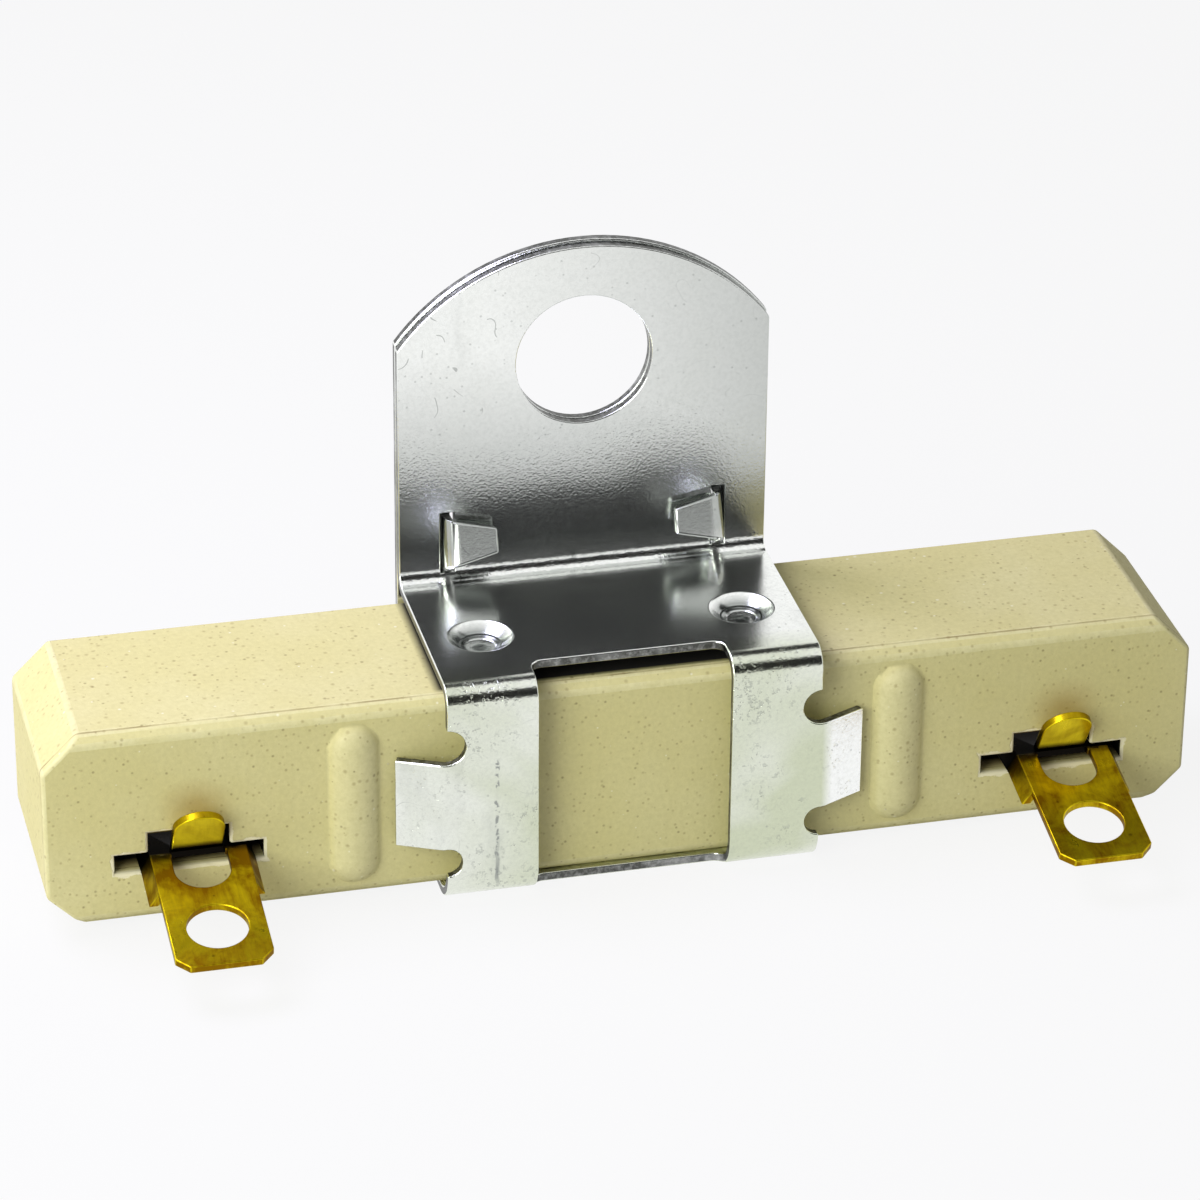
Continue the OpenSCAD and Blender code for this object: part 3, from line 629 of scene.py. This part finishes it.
def brass_finish(name, tarnish):
    """Old brass: brown in clouds and streaks, browner by the given share all over, and painted black shade in
    the slot.
    """
    s = settings().terminals
    n = material_nodes(name)
    front, slot = block_front(), slot_floor()
    clouds = n.noise(0.0042, 4.0, 0.6, warp=0.8)
    streaks = n.noise(0.0022, 3.0, 0.6, n.moved(scale=(7.0, 1.0, 1.0)))
    low = n.fade(n.z, slot + 0.0016, slot + 0.0024)
    # Browner toward the slot: tarnish and painted shade.
    near = n.times(n.span(n.y, front - 0.0060, front - 0.0008, 0.0, 0.45), low)
    share = n.plus(
        n.times(n.span(clouds, 0.40, 0.62), 0.92), n.span(streaks, 0.42, 0.75, 0.0, 0.40),
        n.span(n.noise(0.0009, 3.0, 0.6), 0.48, 0.72, 0.0, 0.30), near)
    share = n.times(share, n.plus(0.45, n.times(low, 0.55)))
    colour = n.mix(n.plus(n.times(share, 0.75), tarnish), s.brass_colour, s.tarnish_colour)
    spots = n.specks(0.0012, 0.00012, 0.30, 2.2)
    colour = n.mix(n.times(spots, 0.6), colour, shade(s.tarnish_colour, 0.4))
    # Painted shade: the brass in the slot's mouth and throat is painted black.
    slot_entry_shade = n.times(
        n.span(n.y, front - 0.0010, front + 0.0001), low, n.fade(n.y, front + 0.0034, front + 0.0040))
    slot_throat_shade = n.within(n.y, front + 0.0006, front + 0.0034, 0.0006)
    colour = n.mix(n.most(slot_entry_shade, slot_throat_shade), colour, settings().block.slot_shade_colour)
    rough = n.plus(n.span(clouds, 0.3, 0.7, 0.24, 0.40), n.span(streaks, 0.4, 0.8, 0.0, 0.08))
    normal = n.bump(n.noise(0.0035, 1.0, 0.4), 0.00005, 0.5)
    normal = n.bump(n.plus(streaks, n.noise(0.0004, 2.0)), 0.000006, 0.8, normal)
    return n.finish(colour, rough, normal, Metallic=1.0, Specular_Tint=(0.6, 0.6, 0.6, 1))


def wire_finish():
    """Resistance wire: dull grey alloy with heat tints along it."""
    s = settings().coil
    n = material_nodes("oxidised_wire")
    colour = n.mix(n.span(n.noise(0.004, 3.0, 0.6), 0.35, 0.65), s.wire_colour, s.heat_colour)
    grain = n.noise(0.0003, 3.0, 0.6)
    colour = n.mix(n.span(grain, 0.4, 0.8, 0.0, 0.4), colour, shade(s.wire_colour, 0.5))
    rough = n.span(grain, 0.3, 0.7, 0.38, 0.58)
    return n.finish(colour, rough, n.bump(grain, 0.000006, 0.8), Metallic=1.0)


def dress(mesh, materials):
    """Gives a mesh its materials, in place of those it had."""
    mesh.materials.clear()
    for material in materials:
        mesh.materials.append(material)


def link(name, data):
    """An object at the origin."""
    piece = bpy.data.objects.new(name, data)
    bpy.context.scene.collection.objects.link(piece)
    return piece


def modifier(piece, name, kind, **values):
    """Adds a modifier with some of its settings."""
    added = piece.modifiers.new(name, kind)
    for key, value in values.items():
        setattr(added, key, value)


def middles(faces):
    """For each face the middle of its largest triangle, which lies on the face even where it has notches."""
    best = {}
    for loops in faces.calc_loop_triangles():
        a, b, c = (loop.vert.co for loop in loops)
        area = (b - a).cross(c - a).length
        if area >= best.get(loops[0].face, (0.0, None))[0]:
            best[loops[0].face] = (area, (a + b + c) / 3)
    return {face: middle for face, (area, middle) in best.items()}


def split_wide(faces, cell):
    """Cuts wide faces along planes a cell apart, so that the triangles of a face with holes stay compact."""
    start, few_corners = 0.37 * cell, 8
    for k in range(3):
        way = Vector([float(j == k) for j in range(3)])
        ends = [v.co[k] for v in faces.verts]
        for place in np.arange(min(ends) + start, max(ends), cell):
            wide = [f for f in faces.faces if len(f.verts) > few_corners and f.calc_area() > cell * cell]
            parts = {*wide, *(e for f in wide for e in f.edges), *(v for f in wide for v in f.verts)}
            bmesh.ops.bisect_plane(
                faces, geom=list(parts), plane_co=place * way, plane_no=way, dist=MERGE_DISTANCE)


def merged_faces(mesh):
    """The loose triangles of a solid's mesh, merged into whole faces."""
    faces = bmesh.new()
    faces.from_mesh(mesh)
    bmesh.ops.remove_doubles(faces, verts=faces.verts, dist=MERGE_DISTANCE)
    bmesh.ops.dissolve_degenerate(faces, edges=faces.edges, dist=MERGE_DISTANCE)
    bmesh.ops.dissolve_limit(
        faces, angle_limit=FLAT_ANGLE, use_dissolve_boundaries=False, verts=faces.verts, edges=faces.edges)
    return faces


def rounded_copy(node, name, materials, width, segments, slim=None, third=None, cell=None):
    """A copy of a solid's mesh with its triangles merged into faces and its outward edges rounded.

    The rounded edges take the second material, so that wear follows the real edges. slim(a, b) may give a
    smaller share of the width for the edge between two points. Faces for which third(middle, depth) is true
    take the third material, where depth is how much solid lies behind the face. Wide faces are cut into cells
    of the given width.
    """
    just_inside = 1e-5
    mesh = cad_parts[node].data.copy()
    mesh.name = name
    dress(mesh, materials)
    faces = merged_faces(mesh)
    if any(not e.is_manifold for e in faces.edges):
        raise RuntimeError(f"the copy of {node} isn't closed")
    if cell is not None:
        split_wide(faces, cell)
    weight = faces.edges.layers.float.new("bevel_weight_edge")
    for edge in faces.edges:
        narrow = min(f.calc_area() for f in edge.link_faces) < NARROW_FACE * edge.calc_length()
        if edge.calc_face_angle_signed() > SHARP_ANGLE and not narrow:
            edge[weight] = 1.0 if slim is None else slim(edge.verts[0].co, edge.verts[1].co)
    for face in faces.faces:
        face.material_index = 0
    if third is not None:
        tree = BVHTree.FromBMesh(faces)
        for face, middle in middles(faces).items():
            depth = tree.ray_cast(middle - just_inside * face.normal, -face.normal)[3]
            face.material_index = 2 if third(middle, depth or 0.0) else 0
    faces.to_mesh(mesh)
    faces.free()
    piece = link(name, mesh)
    mesh.shade_smooth()
    mesh.set_sharp_from_angle(angle=SHARP_ANGLE)
    modifier(
        piece, "Rounded edges", "BEVEL", width=width, segments=segments, limit_method="WEIGHT",
        use_clamp_overlap=False, loop_slide=False, miter_outer="MITER_ARC", material=1)
    modifier(piece, "Flat faces", "WEIGHTED_NORMAL", mode="FACE_AREA", weight=60, keep_sharp=True)
    modifier(
        piece, "Even triangles", "TRIANGULATE",
        min_vertices=5, ngon_method="BEAUTY", keep_custom_normals=True)
    return piece


def tube(path, out, radius, sides):
    """Round tube along a path: ring point = path point + radius * (cos t * out + sin t * side).

    t goes round the ring. side is square to the path and to out, and out is first made square to the path.
    The first and last rings shrink to the path's ends, which closes the tube.
    """
    way = np.gradient(path, axis=0)
    way /= np.linalg.norm(way, axis=1, keepdims=True)
    out = out - way * np.sum(out * way, axis=1, keepdims=True)
    out /= np.linalg.norm(out, axis=1, keepdims=True)
    side = np.cross(way, out)
    t = np.linspace(0, 2 * np.pi, sides, endpoint=False)
    rings = path[:, None, :] + radius * (
        np.cos(t)[None, :, None] * out[:, None, :] + np.sin(t)[None, :, None] * side[:, None, :])
    ends = [np.broadcast_to(path[k, None, :], (1, sides, 3)) for k in (0, -1)]
    rings = np.concatenate([ends[0], rings, ends[1]])
    k, j = np.meshgrid(np.arange(len(rings) - 1), np.arange(sides), indexing="ij")
    near, far, step = k * sides, (k + 1) * sides, (j + 1) % sides
    quads = np.stack([near + j, near + step, far + step, far + j], axis=-1).reshape(-1, 4)
    return rings.reshape(-1, 3), quads


def coil_path(low, high, wire, turns, lead):
    """Path of the wire: a straight lead along the bottom, a round corner, the turns, a corner and a lead.

    A point lies at x along the axis and at angle a round it, from the bottom: (x, r sin a, -r cos a).
    Leads keep a = 0, corners ease x by a sine and a by a cosine, and the turns are even in both.
    """
    lead_points, corner_points, turn_points = 4, 8, 30
    r = (high[1] - low[1]) / 2 - wire / 2
    ends = high[0]
    start = ends - lead
    bend, turn_in, total = 0.5 * r, math.radians(30), 2 * np.pi * turns
    q = np.linspace(0, np.pi / 2, corner_points)
    lead_x, lead_a = np.linspace(-ends, -start, lead_points + 1)[:-1], np.zeros(lead_points)
    corner_x, corner_a = -start + bend * np.sin(q), turn_in * (1 - np.cos(q))
    u = np.linspace(0, 1, turn_points * turns)[1:-1]
    helix_x, helix_a = (start - bend) * (2 * u - 1), turn_in + (total - 2 * turn_in) * u
    half_x, half_a = np.concatenate([lead_x, corner_x]), np.concatenate([lead_a, corner_a])
    x = np.concatenate([half_x, helix_x, -half_x[::-1]])
    a = np.concatenate([half_a, helix_a, total - half_a[::-1]])
    middle = (low + high) / 2
    out = np.stack([np.zeros_like(a), np.sin(a), -np.cos(a)], axis=1)
    path = np.stack([x, middle[1] + r * np.sin(a), middle[2] - r * np.cos(a)], axis=1)
    return path, out


class RESISTOR_OT_block(bpy.types.Operator):
    """Rounds the edges of the ceramic block and gives it its speckled clay"""

    bl_idname = "resistor.block"
    bl_label = "Ceramic Block"

    def execute(self, context):
        s = settings().block
        clay = [ceramic_finish("speckled_clay", False), ceramic_finish("rubbed_clay", True), slot_wall_shade_finish()]
        low, high = BLOCK_LOW, BLOCK_HIGH
        front, slot = block_front(), slot_floor()
        outer_rim, mouth_share = 0.0034, 0.7

        def slim(a, b):
            """Full width round the outside of the block, less at the mouths of the slots and the trough."""
            inward = [max(low[k], min(a[k], b[k])) - low[k] for k in (0, 2)]
            inward += [high[k] - max(a[k], b[k]) for k in (0, 2)]
            return 1.0 if min(inward) < outer_rim else mouth_share

        # The box that holds the walls of the slots, behind their rounded rims and short of the block's ends.
        wall_low = (low[0] + 0.003, front + 0.0006, slot - 0.0001)
        wall_high = (high[0] - 0.003, front + 0.0042, slot + s.slot_rise + 0.0002)

        def on_shaded_slot_wall(middle, depth):
            """True for the walls of the terminal slots, which take the painted black shade."""
            return all(wall_low[k] < middle[k] < wall_high[k] for k in range(3))

        piece = rounded_copy("ceramic_body", "block", clay, s.edge_round, 3, slim, on_shaded_slot_wall)
        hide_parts("ceramic_body")
        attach(piece, "root")
        return {"FINISHED"}


class RESISTOR_OT_coil(bpy.types.Operator):
    """Winds the resistance wire in the trough"""

    bl_idname = "resistor.coil"
    bl_label = "Resistance Coil"

    def execute(self, context):
        s = settings().coil
        same_point = 1e-7
        low, high = np.array(COIL_LOW), np.array(COIL_HIGH)
        path, out = coil_path(low, high, s.wire_diameter, s.turns, s.lead_length)
        points, quads = tube(path, out, s.wire_diameter / 2, s.wire_sides)
        mesh = bpy.data.meshes.new("coil")
        mesh.from_pydata(points, [], quads)
        faces = bmesh.new()
        faces.from_mesh(mesh)
        bmesh.ops.remove_doubles(faces, verts=faces.verts, dist=same_point)
        bmesh.ops.recalc_face_normals(faces, faces=faces.faces)
        faces.to_mesh(mesh)
        faces.free()
        mesh.shade_smooth()
        dress(mesh, [wire_finish()])
        piece = link("coil", mesh)
        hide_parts("resistance_coil")
        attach(piece, "root")
        return {"FINISHED"}


class RESISTOR_OT_terminals(bpy.types.Operator):
    """Rounds the edges of the two terminals and gives them their old brass"""

    bl_idname = "resistor.terminals"
    bl_label = "Terminals"

    def execute(self, context):
        s = settings().terminals
        brass = [
            brass_finish("old_brass", s.face_tarnish),
            brass_finish("rubbed_brass", s.edge_tarnish),
            brass_finish("sheared_brass", s.cut_tarnish)]

        def sheared(middle, depth):
            """True for the cut edges, which have more than the strip's thickness behind them."""
            return depth > CUT_DEPTH * s.strip

        for side in ("left", "right"):
            piece = rounded_copy(side + "_terminal", side + "_tab", brass, s.edge_round, 2, third=sheared)
            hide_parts(side + "_terminal")
            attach(piece, "root")
        return {"FINISHED"}


class RESISTOR_OT_strap(bpy.types.Operator):
    """Rounds the edges of the folded strap and gives it its bright zinc"""

    bl_idname = "resistor.strap"
    bl_label = "Mounting Strap"

    def execute(self, context):
        s = settings().strap
        zinc = [zinc_finish("bright_zinc", False), zinc_finish("rubbed_zinc", True), sheared_finish()]
        above_plate, before_ear = s.plate_top + 0.0008, s.rear - 2.5 * s.sheet

        def slim(a, b):
            """Full width on the clinch tabs, which stand in front of the ear, and less on the rest."""
            on_tab = min(a[2], b[2]) > above_plate and max(a[1], b[1]) < before_ear
            return 1.0 if on_tab else s.sheet_round

        def sheared(middle, depth):
            """True for the cut edges, which have more than the sheet's thickness behind them."""
            return depth > CUT_DEPTH * s.sheet

        piece = rounded_copy("mounting_bracket", "strap", zinc, s.edge_round, 2, slim, sheared, s.cell)
        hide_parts("mounting_bracket")
        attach(piece, "root")
        return {"FINISHED"}


def stage_piece(name, points, faces, material):
    """A piece of the studio from its points and faces."""
    mesh = bpy.data.meshes.new(name)
    mesh.from_pydata(points, [], faces)
    dress(mesh, [material])
    piece = link(name, mesh)
    piece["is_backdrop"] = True
    return piece


def canopy(name, low, high, material):
    """Part of a cylinder round the X axis: point = (x, -radius cos e, radius sin e).

    x goes along its width, and the elevation e from low to high, where 0 is in front of the object, 90 is
    above it and more is behind it.
    """
    radius, half_width, steps, strips = 0.75, 0.9, 32, 8
    e, x = np.meshgrid(
        np.radians(np.linspace(low, high, steps + 1)), np.linspace(-half_width, half_width, strips + 1),
        indexing="ij")
    points = np.stack([x, -radius * np.cos(e), radius * np.sin(e)], axis=-1).reshape(-1, 3)
    k, j = np.meshgrid(np.arange(steps), np.arange(strips), indexing="ij")
    row = strips + 1
    quads = (k * row + j).reshape(-1, 1) + np.array([0, 1, row + 1, row])
    return stage_piece(name, points, quads, material)


def floor_finish():
    """Plain pale floor, lifted to white for the camera, so that the shadow on it stays soft."""
    s = settings().studio
    n = material_nodes("pale_floor")
    n.finish(colour=(*s.floor_colour, 1), Roughness=0.9, Specular_IOR_Level=0.1)
    path = n.add("ShaderNodeLightPath")
    glow = n.add("ShaderNodeEmission", {"Color": (1, 1, 1, 1), "Strength": 1.0})
    shown = n.most(path.outputs["Is Glossy Ray"], path.outputs["Is Transmission Ray"])
    share = n.most(n.times(path.outputs["Is Camera Ray"], s.floor_lift), n.times(shown, s.mirror_lift))
    both = n.add("ShaderNodeMixShader", {0: share, 1: n.shader.outputs[0], 2: glow.outputs[0]})
    end = next(k for k in n.tree.nodes if k.type == "OUTPUT_MATERIAL")
    n.put(end.inputs["Surface"], both.outputs[0])
    return n.owner


def dark_finish():
    """Plain dark room that only reflections show."""
    n = material_nodes("dark_room")
    return n.finish(colour=(*settings().studio.dark_colour, 1), Roughness=0.9, Specular_IOR_Level=0.1)


def white_surround(level):
    """World: white to the camera and in reflections, and even light of the given level on the rest."""
    n = Nodes(bpy.data.worlds.new("white_surround"))
    path = n.add("ShaderNodeLightPath")
    seen = n.most(*(path.outputs[f"Is {kind} Ray"] for kind in ("Camera", "Glossy", "Transmission")))
    n.put(n.shader.inputs["Strength"], n.span(seen, 0.0, 1.0, level, 1.0))
    n.put(n.shader.inputs["Color"], (1, 1, 1, 1))
    bpy.context.scene.world = n.owner


def soft_lamp(name, watts, width, place, colour):
    """A round soft lamp that faces the middle of the block."""
    light = bpy.data.lights.new(name, "AREA")
    light.shape = "DISK"
    light.size = width
    light.energy = watts
    light.color = colour
    aim = Vector(place) - LAMP_TARGET
    lamp = link(name, light)
    lamp.matrix_world = Matrix.Translation(Vector(place)) @ aim.to_track_quat("Z", "Y").to_matrix().to_4x4()


class RESISTOR_OT_studio(bpy.types.Operator):
    """Sets up the floor, the dark room that the metal mirrors, the light and the camera"""

    bl_idname = "resistor.studio"
    bl_label = "Studio"

    def execute(self, context):
        s = settings().studio
        scene = context.scene
        h, z = s.floor_size, -s.floor_gap
        corners = [(-h, -h, z), (h, -h, z), (h, h, z), (-h, h, z)]
        stage_piece("floor", corners, [(0, 1, 2, 3)], floor_finish())
        dark = dark_finish()
        for name, low, high in DARK_ROOM:
            room = canopy(name, low, high, dark)
            room.visible_camera = room.visible_diffuse = room.visible_shadow = False
        white_surround(s.sky_level)
        soft_lamp("key", s.key_level, s.key_width, s.key_place, s.key_colour)
        soft_lamp("fill", s.fill_level, s.fill_width, s.fill_place, s.fill_colour)
        lens = bpy.data.cameras.new("camera")
        lens.sensor_fit = "HORIZONTAL"
        lens.sensor_width = PICTURE_WIDTH
        lens.lens = s.lens
        lens.clip_start = 0.01
        camera = link("camera", lens)
        turn = Matrix((CAMERA_RIGHT, -CAMERA_DOWN, -CAMERA_AHEAD)).transposed().to_4x4()
        camera.matrix_world = Matrix.Translation(Vector(s.eye)) @ turn
        scene.camera = camera
        scene.view_settings.view_transform = "Standard"
        return {"FINISHED"}


class RESISTOR_PT_panel(bpy.types.Panel):
    """Lists the pieces and their settings in the sidebar"""

    bl_idname = "RESISTOR_PT_panel"
    bl_label = "Ballast Resistor"
    bl_space_type = "VIEW_3D"
    bl_region_type = "UI"
    bl_category = "Resistor"

    def draw(self, context):
        for kind in ("block", "coil", "terminals", "strap", "studio"):
            box = self.layout.box()
            box.operator("resistor." + kind)
            values = getattr(context.scene.resistor, kind)
            for key in values.bl_rna.properties.keys():
                if key not in ("rna_type", "name"):
                    box.prop(values, key)


CLASSES = (
    BlockSettings, CoilSettings, TerminalSettings, StrapSettings, StudioSettings, ResistorSettings,
    RESISTOR_OT_block, RESISTOR_OT_coil, RESISTOR_OT_terminals, RESISTOR_OT_strap, RESISTOR_OT_studio,
    RESISTOR_PT_panel)


def register():
    """Registers the classes and hangs the settings on the scene."""
    for kind in CLASSES:
        bpy.utils.register_class(kind)
    bpy.types.Scene.resistor = bpy.props.PointerProperty(type=ResistorSettings)


def unregister():
    """Takes the settings and the classes away again."""
    del bpy.types.Scene.resistor
    for kind in reversed(CLASSES):
        bpy.utils.unregister_class(kind)


def main():
    """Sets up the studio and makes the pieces."""
    register()
    bpy.ops.resistor.studio()
    bpy.ops.resistor.block()
    bpy.ops.resistor.coil()
    bpy.ops.resistor.terminals()
    bpy.ops.resistor.strap()
    sizes = {"cad": CAD_BOX, "visual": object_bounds()}
    {k: [[round(float(c), 6) for c in corner] for corner in v] for k, v in sizes.items()}


if __name__ == "__main__":
    main()
